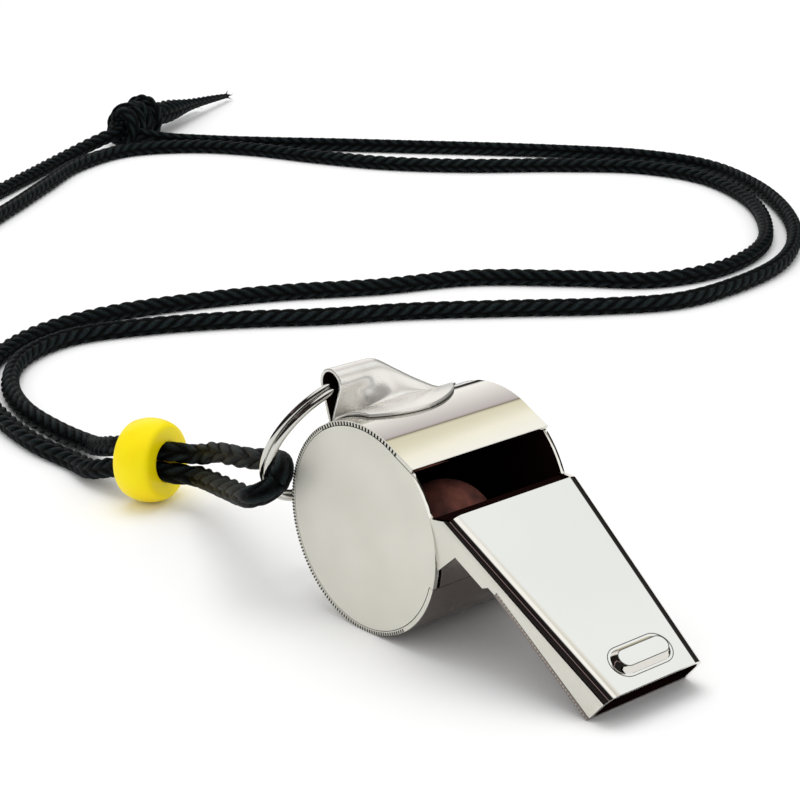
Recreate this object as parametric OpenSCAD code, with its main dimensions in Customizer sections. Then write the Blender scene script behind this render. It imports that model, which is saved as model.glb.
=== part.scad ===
// Metal pea whistle on a braided neck cord, in millimetres.
// X runs from the barrel towards the mouth, Y across the barrel, Z up.
// The origin lies on the table under the middle of the barrel.

/* [Barrel] */
// Outside diameter over the band
barrel_d = 23; // [21:0.5:25]
// Width over the two cheeks
barrel_w = 18.8; // [17:0.2:21]
// Thickness of the plated brass sheet
sheet = 0.5; // [0.4:0.05:0.6]
// Solder seam between neighbouring sheets
seam = 0.05; // [0.02:0.01:0.08]
// Where the band stops under the mouthpiece, degrees below level
band_stop = 17; // [15:1:20]

/* [Window] */
// Where the band is creased to form the lip, degrees above level
crease_deg = 68; // [66:1:70]
// Length of the flat lip
lip_len = 4.3; // [3.8:0.1:4.6]
// Fall of the lip, degrees below level
lip_fall = 25.5; // [23:0.5:28]
// Where the window's rim leaves the curve of the cheek, degrees above level
rim_deg = 22; // [20:1:24]

/* [Mouthpiece] */
// Distance from the barrel's axis to the lower edge of the mouth
mouth_reach = 30.5; // [29.5:0.1:31.5]
// Height of the mouth, square to its top plate
mouth_h = 4.35; // [4:0.05:4.8]
// How far the mouth's lower edge lies behind its upper edge
mouth_undercut = 0.6; // [0.4:0.1:0.8]
// Width of the mouth
mouth_w = 13.8; // [12.8:0.2:15]
// Fall of the top plate, degrees below level
plate_slope = 33.5; // [32:0.5:35]
// Length of the top plate
plate_len = 24; // [23:0.2:25]
// Radius of the two long shoulders
shoulder_r = 1.8; // [1.4:0.1:1.9]
// Distance behind the plate's rear edge at which the sides start to taper
taper_back = 1.9; // [1.5:0.1:2.2]
// Depth below the plate at which the window's rim reaches its rear edge
rim_depth = 0.7; // [0.5:0.1:0.9]
// Depth of the sides behind the step in the floor
flank_depth = 3.05; // [2.95:0.05:3.3]
// Height of the windway behind the step
inlet = 1.9; // [1.75:0.05:1.95]
// Height of the windway at the step
throat = 1.45; // [1.3:0.05:1.6]
// Distance from the plate's rear edge to the step
step_at = 8.4; // [8:0.1:9]
// Width of the notch in front of that step
notch_w = 1; // [0.8:0.1:1.2]
// Distance from the plate's rear edge to the tip of the cut between barrel and mouthpiece
cut_tip_at = 2.7; // [2.4:0.1:3]
// Where that cut starts on the barrel, degrees below level
cut_deg = 6; // [4:1:8]

/* [Tooth grip] */
// Length of the pressed ridge, across the mouthpiece
grip_len = 7.9; // [7:0.1:8.5]
// Width of the pressed ridge
grip_w = 3.3; // [3:0.1:3.6]
// Height of the pressed ridge
grip_h = 0.7; // [0.5:0.05:0.8]
// Width of its sloping flank
grip_flank = 0.7; // [0.6:0.05:0.8]
// Distance from the plate's rear edge to the ridge's middle
grip_at = 21; // [20:0.1:21.5]

/* [Lanyard loop] */
// Thickness of the loop's strap
strap = 0.35; // [0.3:0.05:0.4]
// Inside diameter of the eye
eye_d = 2.7; // [2.6:0.1:3]
// Height of the eye's centre above the barrel's axis, along its own spoke
eye_height = 15.2; // [15:0.1:15.6]
// Spoke that the eye stands on, degrees above level
eye_deg = 117; // [115:1:119]
// Distance from the middle plane to the eye's near mouth
eye_near = 7.4; // [7:0.1:7.6]
// Length of the eye's tunnel
eye_len = 6; // [5.8:0.1:6.2]
// Spoke on which the strap is pinched together, degrees behind the eye
neck_deg = 9.5; // [9:0.5:10]
// Length of the short rear foot
rear_foot = 1.2; // [1:0.1:1.4]
// Spoke where the front flank folds into the foot behind the tunnel, degrees above level
fold_deg = 105; // [104:0.5:107]
// Distance from the middle plane to the far end of the ridge
ridge_far = 5.8; // [5.4:0.1:6]
// Radius of the front foot's rounded outline
foot_r = 9.1; // [8.9:0.1:9.3]
// Distance of that outline's centre behind the fold
foot_back = 4.8; // [4.6:0.1:5]
// Distance of that outline's centre from the middle plane
foot_side = 1.6; // [1.4:0.1:1.8]

/* [Split ring] */
// Mean diameter of the ring
ring_d = 17.6; // [17:0.2:18]
// Diameter of its wire
wire_d = 0.75; // [0.7:0.05:0.8]
// Tilt of the ring where it rests on the barrel, degrees below level
ring_tilt = 61; // [60:0.5:61.5]
// Arc on which the wire steps from its first turn to its second, degrees
ring_step = 20; // [12:1:24]

/* [Pea] */
// Diameter of the cork pea
pea_d = 10.6; // [9.5:0.1:10.8]
// Running gap between the pea and the chamber's wall
pea_gap = 0.15; // [0.1:0.05:0.3]
// Distance of the pea from the middle plane, towards the near cheek
pea_side = 2.7; // [0:0.1:3]
// Spoke of the pea at rest, degrees below level
pea_deg = 3; // [0:1:20]

/* [Bead] */
// Diameter of the bead
bead_d = 10.1; // [9.8:0.1:10.1]
// Length of the bead
bead_len = 5; // [4.5:0.1:6]
// Bore of the bead
bead_bore = 5.2; // [5.1:0.1:5.6]
// Distance of the bead from the bend in its two strands
bead_free = 2; // [1.5:0.1:2.2]

/* [Cord] */
// Diameter of the braided cord
cord_d = 2.4; // [2.2:0.1:2.4]
// Outside diameter of the end knot
knot_d = 8.2; // [7.4:0.1:8.4]
// Length of the end knot without its tails
knot_len = 13; // [10:0.5:14]

/* [Hidden] */
$fn = 96;

// Overrun of every cut past the metal that it goes through
over = 1;
// Largest distance that a cut has to cover
span = barrel_d + plate_len;

// Barrel and window
barrel_r = barrel_d / 2;
cheek_r = barrel_r - sheet - seam;
seam_deg = seam / barrel_r * 180 / PI;
axis = [0, barrel_r];
crease = axis + barrel_r * spoke(crease_deg);
lip_dir = [cos(lip_fall), -sin(lip_fall)];
lip_up = [sin(lip_fall), cos(lip_fall)];
lip_edge = crease + lip_len * lip_dir;
lip_under = lip_edge - (sheet + seam) * lip_up;
window_deg = atan2(lip_under[1] - barrel_r, lip_under[0]);

// Mouthpiece, in the frame of its top plate: u runs down the plate, d is the depth below it
plate_dir = [cos(plate_slope), -sin(plate_slope)];
plate_up = [sin(plate_slope), cos(plate_slope)];
mouth_low = [mouth_reach, 0];
plate_front = mouth_low + mouth_h * plate_up + mouth_undercut * plate_dir;
plate_rear = plate_front - plate_len * plate_dir;
taper = atan((barrel_w - mouth_w) / 2 / (plate_len + taper_back));
floor_top = sheet + inlet;
floor_depth = floor_top + sheet;
step_top = sheet + throat;
step_depth = step_top + sheet;
notch_depth = step_depth - 2 * seam;
wall_top = on_plate(circle_u(floor_top, barrel_r), floor_top) - axis;
wall_top_deg = atan2(wall_top[1], wall_top[0]);

// Lanyard loop
eye_r = eye_d / 2;
eye_far = eye_near - eye_len;
foot_low = barrel_r + seam;
strap_deg = strap / foot_low * 180 / PI;
neck_spoke = eye_deg + neck_deg;
rear_spoke = neck_spoke + rear_foot / foot_low * 180 / PI;
foot_front_deg = fold_deg - asin((foot_r - foot_back + strap) / foot_low);
foot_rear_deg = fold_deg + 2 * strap_deg;
foot_far = foot_r - foot_side;

// Split ring
ring_r = ring_d / 2;
eye_at = axis + eye_height * spoke(eye_deg);
ring_place_share = 0.6;
ring_y = -eye_near + eye_len * ring_place_share;
// Where the wire's first end lies, degrees round the ring from its front
ring_start = 118;
ring_rings = 66;

// Pea
pea_orbit = barrel_r - sheet - pea_gap - pea_d / 2;
pea_at = axis + pea_orbit * spoke(-pea_deg);

// Cord routes: the bight round the ring first, the knot last; points without a height lie on the table
cord_r = cord_d / 2;
route_a = [
    [-10.6, -11.9, 14.2], [-11.1, -12.9, 13.5], [-12.1, -13.5, 12.8], [-13.4, -13.5, 12.3],
    [-24, -8.6, 8.8], [-33.5, -4.4, 6], [-39.3, -2.1, 4.3], [-49.6, -6, 3.6], [-55, -6.4, 1.9],
    [-60, -5.4], [-69, -5.4], [-80, -3.5],
    [-91.5, 0.5], [-102, 9.5], [-107.5, 20.5], [-108, 32], [-104.5, 45], [-98.5, 58], [-91, 70],
    [-85, 83], [-74, 94], [-65, 102], [-62, 113], [-65.5, 127], [-76, 140], [-89, 149.5],
    [-103, 154], [-115, 151.5], [-126, 142.5], [-137, 130.5], [-149, 121], [-162, 115],
    [-175, 110], [-184.5, 103.5], [-190.5, 93], [-187.5, 80], [-179, 67.5], [-169.5, 54],
    [-161.5, 41], [-159, 30], [-166, 23.5], [-173.5, 29], [-175.5, 41], [-178, 53], [-185, 66],
    [-192, 78], [-196, 88, 2], [-196.7, 95.7, 3.4]];
route_b = [
    [-10.6, -11.9, 14.2], [-11.1, -10.9, 14.8], [-12.2, -10.1, 15.2], [-13.5, -9.3, 15.1],
    [-23.5, -6.8, 12.2], [-33.7, -3.2, 9.1], [-39.7, -1.5, 6.7], [-50, -5.3, 6], [-56.5, -3.7, 3.7],
    [-62, -1.6, 1.9], [-71, -0.8],
    [-81, 0.5], [-91.5, 5], [-99.5, 12.5], [-102.5, 22], [-99, 33], [-92.5, 44.5], [-85, 54.5],
    [-78.5, 65], [-69.5, 76.5], [-60.5, 87.5], [-55, 97], [-54.5, 109], [-57.5, 122.5],
    [-66, 136], [-79, 148], [-93.5, 156.5], [-108, 160.5], [-121, 157.5], [-133, 150],
    [-145, 141], [-155.5, 132.5], [-166, 124], [-176, 115.5], [-185, 108, 1.3], [-191.5, 101, 2],
    [-194.5, 97, 3.2]];
cord_sides = 8;

// Bead, threaded on the straight of the two strands
lead_start = 6;
lead_high = (route_a[lead_start] + route_b[lead_start]) / 2;
lead_low = (route_a[lead_start + 1] + route_b[lead_start + 1]) / 2;
lead_dir = unit(lead_high - lead_low);
bead_at = lead_low + (bead_len / 2 + bead_free) * lead_dir;

// Knot
knot_r = knot_d / 2;
wrap_share = 0.55;
wrap_r = cord_d * wrap_share;
knot_at = [-198.5, 100];
knot_turn = 114;
tail_long = 38;
tail_short = 27;
tail_tip_r = cord_r / 2;

// Unit vector in the XZ plane at an angle above level
function spoke(a) = [cos(a), sin(a)];
function unit(v) = v / norm(v);
function on_plate(u, d) = plate_rear + u * plate_dir - d * plate_up;
// Distance down the plate at which depth d meets a circle round the barrel's axis
function circle_u(d, r) =
    (axis - plate_rear) * plate_dir
    + sqrt(pow(r, 2) - pow(d + (axis - plate_rear) * plate_up, 2));
function arc_points(r, from, to) = [for (i = [0:$fn]) axis + r * spoke(from + (to - from) * i / $fn)];
function at_height(p) = len(p) == 3 ? p : [p[0], p[1], cord_r];

// A flat outline in the XZ plane, spread evenly to both sides of the middle plane
module across(w) {
    rotate([90, 0, 0]) linear_extrude(height = w, center = true) children();
}

// Curved sheet round the barrel's axis
module curved_sheet(r_in, r_out, from, to, w) {
    translate([0, 0, axis[1]]) rotate([90, 0, 0]) rotate([0, 0, from])
        rotate_extrude(angle = to - from) translate([r_in, -w / 2]) square([r_out - r_in, w]);
}

// Pie of the barrel's circle in the XZ plane
module pie(r, from, to) {
    translate(axis) intersection() {
        circle(r);
        polygon([[0, 0], 2 * r * spoke(from), 2 * r * spoke((from + to) / 2), 2 * r * spoke(to)]);
    }
}

// Cross-section of one long edge of the mouthpiece, rounded at the shoulder
module shoulder_section(inset) {
    r = shoulder_r - inset;
    translate([inset + r, -span]) square([span, span - inset]);
    translate([inset, -span]) square([span, span - inset - r]);
    translate([inset + r, -inset - r]) circle(r);
}

// All that lies inside one side of the mouthpiece
module side_block(inset, angle) {
    translate([-taper_back, -barrel_w / 2, 0]) rotate([0, 0, angle])
        translate([-span, 0, 0]) rotate([90, 0, 90])
            linear_extrude(height = 2 * span) shoulder_section(inset);
}

// Mouthpiece block: top plate and both tapering sides, moved inwards by an inset
module mouth_block(inset) {
    translate([plate_rear[0], 0, plate_rear[1]]) rotate([0, plate_slope, 0])
        intersection() {
            side_block(inset, taper);
            side_block(inset, 0);
            mirror([0, 1, 0]) side_block(inset, taper);
            mirror([0, 1, 0]) side_block(inset, 0);
        }
}

module cheek_outline() {
    translate(axis) circle(cheek_r);
    pie(barrel_r, seam_deg - band_stop, window_deg);
    polygon([axis, crease - (sheet + seam) * lip_up, lip_under]);
}

module flank_outline() {
    side_depth = mouth_h - sheet - seam;
    polygon([
        on_plate(0, -over), plate_front + over * plate_up,
        plate_front, on_plate(plate_len - mouth_undercut * side_depth / mouth_h, side_depth),
        on_plate(step_at, step_top - seam), on_plate(step_at, notch_depth),
        on_plate(step_at - notch_w, notch_depth),
        on_plate(step_at - notch_w - sheet, flank_depth), on_plate(cut_tip_at, flank_depth),
        axis + barrel_r * spoke(-cut_deg), axis + cheek_r * spoke(0) / 2,
        axis + barrel_r * spoke(rim_deg), on_plate(0, rim_depth)]);
}

// Pressed ridge with sloping flanks, grown outwards from the plate
module grip_form(len, w, h) {
    half = (len - w) / 2;
    top_r = w / 2 - grip_flank;
    for (side = [-1, 1])
        translate([0, side * half, 0]) cylinder(h = h, r1 = w / 2, r2 = top_r);
    rotate([90, 0, 0]) linear_extrude(height = 2 * half, center = true)
        polygon([[-w / 2, 0], [w / 2, 0], [top_r, h], [-top_r, h]]);
}

module on_grip() {
    translate([plate_rear[0], 0, plate_rear[1]]) rotate([0, plate_slope, 0])
        translate([grip_at, 0, 0]) children();
}

// Two cheeks and the top plate, folded from one sheet
module body_shell() {
    color([0.80, 0.79, 0.76]) {
        for (side = [-1, 1])
            translate([0, side * (barrel_w - sheet) / 2, 0]) across(sheet) cheek_outline();
        difference() {
            union() {
                intersection() {
                    mouth_block(0);
                    across(barrel_w + 2 * over) flank_outline();
                }
                on_grip() translate([0, 0, -sheet / 2]) grip_form(grip_len, grip_w, grip_h + sheet / 2);
            }
            mouth_block(sheet);
            on_grip() translate([0, 0, -sheet])
                grip_form(grip_len - 2 * sheet, grip_w - sheet, grip_h);
        }
    }
}

// Section of the band, from the lip over the top and round to its end under the mouthpiece
module band_outline() {
    band_end = 360 - band_stop;
    polygon(concat(
        arc_points(barrel_r, crease_deg, band_end), arc_points(barrel_r - sheet, band_end, crease_deg),
        [lip_edge - sheet * lip_up, lip_edge]));
}

// The strip that wraps the barrel and ends in the lip
module barrel_band() {
    color([0.86, 0.85, 0.83]) {
        across(barrel_w) band_outline();
    }
}

// Lower plate of the windway, which turns down to close the barrel under the window
module windway_floor() {
    mouth_top = mouth_h - sheet;
    inner_u = circle_u(floor_top, barrel_r - sheet / 2);
    color([0.72, 0.71, 0.68]) {
        intersection() {
            mouth_block(0);
            across(barrel_w + 2 * over) polygon([
                on_plate(step_at, step_top), on_plate(step_at, step_depth), mouth_low,
                on_plate(plate_len - mouth_undercut * mouth_top / mouth_h, mouth_top)]);
        }
        intersection() {
            mouth_block(sheet + seam);
            union() {
                across(barrel_w) polygon([
                    on_plate(step_at + sheet, step_top), on_plate(step_at + sheet, step_depth),
                    on_plate(step_at, floor_depth), on_plate(inner_u, floor_depth),
                    on_plate(inner_u, floor_top), on_plate(step_at - sheet, floor_top),
                    on_plate(step_at, step_top)]);
                curved_sheet(barrel_r - sheet, barrel_r, seam_deg - band_stop, wall_top_deg, barrel_w);
            }
        }
    }
}

// Places children in the frame of a spoke: X forwards round the barrel, Y along the spoke
module on_spoke(a) {
    translate([0, 0, axis[1]]) rotate([90, 0, 0]) rotate([0, 0, a - 90]) children();
}

// Point on a spoke, in the frame of the eye's spoke
function by_eye(a, r) = r * [sin(eye_deg - a), cos(eye_deg - a)];

// Thin slice of the loop: the eye, and its base between two spokes on the barrel
module loop_slice(at, thick, r, rear_deg, front_deg) {
    on_spoke(eye_deg) translate([0, 0, at]) linear_extrude(height = thick) {
        translate([0, eye_height]) circle(r, $fn = 32);
        polygon([[0, eye_height], by_eye(rear_deg, barrel_r), by_eye(front_deg, barrel_r)]);
    }
}

// Tunnel of the eye, pinched at its near mouth and spread at its far end
module tunnel_form(wall, past_near, past_far) {
    wall_deg = wall / foot_low * 180 / PI;
    open = wall_deg + seam_deg;
    hull() {
        loop_slice(eye_near - strap, strap + past_near, eye_r + wall, neck_spoke + open, neck_spoke - open);
        loop_slice(eye_far - past_far, strap, eye_r + wall, neck_spoke + open,
                   fold_deg + strap_deg - wall_deg);
    }
}

// Ridge that falls from the tunnel to the far end of the foot
module ridge_outside() {
    hull() {
        loop_slice(eye_far - seam, strap, eye_r + strap - seam, neck_spoke, fold_deg + seam_deg);
        on_spoke(fold_deg) translate([0, foot_low + strap, -ridge_far])
            cylinder(h = strap, r = strap, $fn = 16);
    }
}

// What lies open under the ridge, and all that is behind its crest
module ridge_hollow() {
    hull() {
        loop_slice(eye_far - strap, strap, eye_r - seam, neck_spoke + seam_deg,
                   fold_deg + strap_deg + seam_deg);
        on_spoke(foot_rear_deg) translate([0, foot_low, 2 * strap - ridge_far])
            cylinder(h = strap, r = seam, $fn = 16);
    }
    on_spoke(eye_deg) translate([-span, 0, eye_far - seam - span]) cube(span);
}

// Both feet of the loop: a short one behind the neck, a wide one with a rounded outline in front
module loop_feet() {
    tunnel_mid = -(eye_near + eye_far) / 2;
    translate([0, tunnel_mid, 0])
        curved_sheet(foot_low, foot_low + strap, neck_spoke, rear_spoke, eye_len);
    intersection() {
        union() {
            translate([0, tunnel_mid, 0])
                curved_sheet(foot_low, foot_low + strap, foot_front_deg, neck_spoke, eye_len);
            translate([0, (foot_far - eye_near) / 2, 0])
                curved_sheet(foot_low, foot_low + strap, foot_front_deg, foot_rear_deg,
                             foot_far + eye_near);
        }
        on_spoke(fold_deg) translate([-foot_back, 0, foot_side]) rotate([-90, 0, 0])
            cylinder(h = span, r = foot_r);
    }
}

// Strap bent round a mandrel into an eye with two feet, soldered to the band
module lanyard_loop() {
    color([0.84, 0.83, 0.81]) {
        difference() {
            union() {
                tunnel_form(strap, 0, 0);
                ridge_outside();
            }
            tunnel_form(0, over, 2 * seam);
            ridge_hollow();
            translate([0, 0, axis[1]]) rotate([90, 0, 0])
                cylinder(h = 2 * barrel_w, r = foot_low, center = true);
        }
        difference() {
            loop_feet();
            tunnel_form(0, over, 2 * seam);
            ridge_hollow();
        }
    }
}

// Spiral ring of two turns, hanging through the eye and resting on the barrel
module split_ring() {
    turns_deg = 720 - ring_step;
    rings = [for (i = [0:ring_rings])
        let (
            turned = turns_deg * i / ring_rings,
            stepped = min(max((turned - 360 + ring_step) / ring_step, 0), 1),
            out = [cos(turned), sin(turned), 0],
            middle = ring_r * out + [0, 0, (wire_d + seam) * (stepped - 1 / 2)])
        [for (k = [0:cord_sides - 1])
            middle + wire_d / 2 * (cos(360 * k / cord_sides) * out + sin(360 * k / cord_sides) * [0, 0, 1])]];
    color([0.78, 0.77, 0.74])
        translate([eye_at[0], ring_y, eye_at[1]]) rotate([0, -ring_tilt, 0])
            translate([-ring_r, 0, 0]) rotate([0, 0, ring_start]) skin(rings);
}

module pea() {
    color([0.45, 0.22, 0.18])
        translate([pea_at[0], -pea_side, pea_at[1]]) sphere(d = pea_d);
}

module bead() {
    color([1.0, 0.86, 0.08])
        translate(bead_at)
            rotate([0, acos(lead_dir[2]), atan2(lead_dir[1], lead_dir[0])])
                difference() {
                    intersection() {
                        sphere(d = bead_d);
                        cylinder(h = bead_len, r = bead_d, center = true);
                    }
                    cylinder(h = bead_len + 2 * over, d = bead_bore, center = true);
                }
}

// Solid through rings of as many points each, which run anticlockwise seen from the first end
module skin(rings) {
    n = len(rings[0]);
    last = len(rings) - 1;
    polyhedron(
        points = [for (ring = rings) each ring],
        faces = [
            [for (k = [n - 1:-1:0]) k],
            for (i = [0:last - 1]) for (k = [0:n - 1]) each [
                [i * n + k, (i + 1) * n + (k + 1) % n, (i + 1) * n + k],
                [i * n + k, i * n + (k + 1) % n, (i + 1) * n + (k + 1) % n]],
            [for (k = [0:n - 1]) last * n + k]]);
}

// Tube along a route, with a ring of corners square to it at every point
module cord_tube(route) {
    pts = [for (p = route) at_height(p)];
    last = len(pts) - 1;
    rings = [for (i = [0:last])
        let (
            run = unit(i == 0 ? start_dir(pts) : i == last ? pts[i] - pts[i - 1]
                : unit(pts[i] - pts[i - 1]) + unit(pts[i + 1] - pts[i])),
            side = unit(cross(run, [0, 0, 1])),
            top = cross(side, run))
        [for (k = [0:cord_sides - 1])
            pts[i] + cord_r * (cos(360 * k / cord_sides) * side + sin(360 * k / cord_sides) * top)]];
    skin(rings);
}

// At the bight both strands leave square to the same face
function start_dir(pts) =
    let (way = at_height(route_a[1]) - at_height(route_b[1]))
    way * (pts[1] - pts[0]) > 0 ? way : -way;

module cord_strand_a() {
    color([0.09, 0.10, 0.10]) cord_tube(route_a);
}

module cord_strand_b() {
    color([0.10, 0.11, 0.11]) cord_tube(route_b);
}

// Overhand knot that ties the two ends together, with its two tails
module end_knot() {
    color([0.08, 0.09, 0.09])
        translate([knot_at[0], knot_at[1], knot_r]) rotate([0, 90, knot_turn]) {
            cylinder(h = knot_len - cord_d, r = knot_r - wrap_r, center = true);
            for (wrap = [-1, 0, 1])
                translate([0, 0, wrap * (knot_len / 2 - wrap_r)])
                    rotate_extrude() translate([knot_r - wrap_r, 0]) circle(wrap_r, $fn = 24);
            for (tail = [[-1, tail_long], [1, tail_short]])
                translate([cord_r, tail[0] * cord_r, 0]) cylinder(h = tail[1], r1 = cord_r, r2 = tail_tip_r, $fn = 24);
        }
}

body_shell();
barrel_band();
windway_floor();
lanyard_loop();
pea();
split_ring();
bead();
cord_strand_a();
cord_strand_b();
end_knot();
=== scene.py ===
"""Metal pea whistle on a braided neck cord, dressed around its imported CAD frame, in metres."""
from math import atan2, cos, pi, radians, sin, sqrt, tau

import bmesh
import bpy
import numpy as np
from mathutils import Matrix, Vector, noise


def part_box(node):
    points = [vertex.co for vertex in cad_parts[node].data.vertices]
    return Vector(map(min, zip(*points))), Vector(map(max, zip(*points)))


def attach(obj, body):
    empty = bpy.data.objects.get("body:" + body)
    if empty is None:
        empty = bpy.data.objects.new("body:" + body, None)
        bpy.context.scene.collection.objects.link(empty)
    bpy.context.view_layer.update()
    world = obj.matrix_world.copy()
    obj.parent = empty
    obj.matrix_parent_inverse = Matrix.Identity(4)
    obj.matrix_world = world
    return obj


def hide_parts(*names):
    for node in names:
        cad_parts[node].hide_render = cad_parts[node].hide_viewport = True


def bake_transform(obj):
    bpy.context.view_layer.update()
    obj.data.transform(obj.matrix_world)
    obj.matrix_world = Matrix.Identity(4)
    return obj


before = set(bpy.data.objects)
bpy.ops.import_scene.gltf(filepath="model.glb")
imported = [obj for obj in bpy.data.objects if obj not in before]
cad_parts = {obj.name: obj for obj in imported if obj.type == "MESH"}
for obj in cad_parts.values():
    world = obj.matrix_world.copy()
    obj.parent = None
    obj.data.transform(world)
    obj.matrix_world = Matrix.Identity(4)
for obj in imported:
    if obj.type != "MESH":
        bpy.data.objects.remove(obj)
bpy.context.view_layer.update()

MM = 0.001

# ---------------------------------------------------------------- camera
# Stands in front of the mouth and to its near side, a little above the table, with a long lens.
# Its place and turn were solved from the two rims of the barrel and the edges of the mouthpiece.
FOCAL_PIXELS, FRAME_PIXELS, SENSOR = 2450, 800, 36


def placed(name, data):
    """A new object in the scene, at the origin."""
    thing = bpy.data.objects.new(name, data)
    bpy.context.scene.collection.objects.link(thing)
    return thing


camera = placed("camera", bpy.data.cameras.new("camera"))
camera.location = Vector((180.836, -157.952, 107.968)) * MM
look_down, look_azimuth, look_roll = radians(19.410), radians(49.568), radians(-0.988)
camera.rotation_euler = (
    Matrix.Rotation(look_azimuth, 3, "Z") @ Matrix.Rotation(pi / 2 - look_down, 3, "X")
    @ Matrix.Rotation(look_roll, 3, "Z")).to_euler()
camera.data.sensor_width = SENSOR
camera.data.lens = SENSOR * FOCAL_PIXELS / FRAME_PIXELS
camera.data.clip_start = 0.01
bpy.context.scene.camera = camera

# ---------------------------------------------------------------- cord
# One braided polyester cord, 2.4 mm thick, doubled through the split ring. It is drawn as two strands
# that meet in the bight and end in the knot. The plait is four columns of leaning stitches.
CORD_D, PLAIT_CROWN, PLAIT_PITCH, PLAIT_COLUMNS, PLAIT_DEPTH, PLAIT_LEAN = 2.4, 2.62, 2.07, 4, 0.36, 1.3
# Each stitch is domed along its length and falls off steeply at the edges of its column.
STITCH_DOME, STITCH_FALL, STITCH_EDGE, STITCH_SHIFT = 0.7, 0.7, 5, 0.25
# From the ring to past the bead the strands are seen nearly end-on, so their stitches are drawn longer.
PLAIT_STRETCH, PLAIT_STRETCH_TO, PLAIT_STRETCH_FADE = 1.3, 40, 12
POINTS_PER_STITCH, CURVE_SAMPLES, SMOOTHINGS, STRAIGHT_ENDS = 8, 24, 14, (0.12, 0.88)
STRAND_A = [
    [-10.6, -11.9, 14.2], [-11.1, -12.9, 13.5], [-12.1, -13.5, 12.8], [-13.4, -13.5, 12.3],
    [-24, -8.6, 8.8], [-33.5, -4.4, 6], [-39.3, -2.1, 4.3], [-49.6, -6, 3.6], [-55, -6.4, 1.9],
    [-60, -5.4], [-69, -5.4], [-80, -3.5],
    [-91.5, 0.5], [-102, 9.5], [-107.5, 20.5], [-108, 32], [-104.5, 45], [-98.5, 58], [-91, 70],
    [-85, 83], [-74, 94], [-65, 102], [-62, 113], [-65.5, 127], [-76, 140], [-89, 149.5],
    [-103, 154], [-115, 151.5], [-126, 142.5], [-137, 130.5], [-149, 121], [-162, 115],
    [-175, 110], [-184.5, 103.5], [-190.5, 93], [-187.5, 80], [-179, 67.5], [-169.5, 54],
    [-161.5, 41], [-159, 30], [-166, 23.5], [-173.5, 29], [-175.5, 41], [-178, 53], [-185, 66],
    [-192, 78], [-196, 88, 2], [-196.7, 95.7, 3.4]]
STRAND_B = [
    [-10.6, -11.9, 14.2], [-11.1, -10.9, 14.8], [-12.2, -10.1, 15.2], [-13.5, -9.3, 15.1],
    [-23.5, -6.8, 12.2], [-33.7, -3.2, 9.1], [-39.7, -1.5, 6.7], [-50, -5.3, 6], [-56.5, -3.7, 3.7],
    [-62, -1.6, 1.9], [-71, -0.8],
    [-81, 0.5], [-91.5, 5], [-99.5, 12.5], [-102.5, 22], [-99, 33], [-92.5, 44.5], [-85, 54.5],
    [-78.5, 65], [-69.5, 76.5], [-60.5, 87.5], [-55, 97], [-54.5, 109], [-57.5, 122.5],
    [-66, 136], [-79, 148], [-93.5, 156.5], [-108, 160.5], [-121, 157.5], [-133, 150],
    [-145, 141], [-155.5, 132.5], [-166, 124], [-176, 115.5], [-185, 108, 1.3], [-191.5, 101, 2],
    [-194.5, 97, 3.2]]


def lifted(route):
    """Route points in metres; one without a height lies on the table."""
    return np.array([p if len(p) == 3 else [*p, CORD_D / 2] for p in route]) * MM


def smooth_line(points, straights, step):
    """Evenly spaced points on a curve through the route; a straight stretch keeps its line."""
    held = []
    for i, p in enumerate(points):
        held.append(p)
        if i in straights:
            held += [p + (points[i + 1] - p) * share for share in STRAIGHT_ENDS]
    p = np.array([2 * held[0] - held[1], *held, 2 * held[-1] - held[-2]])
    knots = np.concatenate([[0], np.cumsum(np.linalg.norm(np.diff(p, axis=0), axis=1) ** 0.5)])
    dense = []
    for i in range(1, len(p) - 2):
        t = np.linspace(knots[i], knots[i + 1], CURVE_SAMPLES, endpoint=False)[:, None]
        t0, t1, t2, t3 = knots[i - 1:i + 3]
        a1 = (t1 - t) / (t1 - t0) * p[i - 1] + (t - t0) / (t1 - t0) * p[i]
        a2 = (t2 - t) / (t2 - t1) * p[i] + (t - t1) / (t2 - t1) * p[i + 1]
        a3 = (t3 - t) / (t3 - t2) * p[i + 1] + (t - t2) / (t3 - t2) * p[i + 2]
        b1 = (t2 - t) / (t2 - t0) * a1 + (t - t0) / (t2 - t0) * a2
        b2 = (t3 - t) / (t3 - t1) * a2 + (t - t1) / (t3 - t1) * a3
        dense.append((t2 - t) / (t2 - t1) * b1 + (t - t1) / (t2 - t1) * b2)
    dense = evenly(np.concatenate(dense + [p[-2][None]]), step)
    for _ in range(SMOOTHINGS):
        dense[1:-1] = (dense[:-2] + 2 * dense[1:-1] + dense[2:]) / 4
    return evenly(dense, step)


def evenly(line, step):
    """The same line with its points at even steps."""
    run = np.concatenate([[0], np.cumsum(np.linalg.norm(np.diff(line, axis=0), axis=1))])
    marks = np.linspace(0, run[-1], max(int(run[-1] / step), 2) + 1)
    return np.stack([np.interp(marks, run, line[:, k]) for k in range(3)], axis=1)


def frames_along(line, first=None):
    """Tangent and two sides at every point, carried along without twist."""
    tangent = np.gradient(line, axis=0)
    tangent /= np.linalg.norm(tangent, axis=1)[:, None]
    side = np.cross(tangent[0], (0, 0, 1) if first is None else first)
    sides = []
    for t in tangent:
        side = side - t * side.dot(t)
        side = side / np.linalg.norm(side)
        sides.append(side)
    sides = np.array(sides)
    return tangent, sides, np.cross(sides, tangent)


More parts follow.
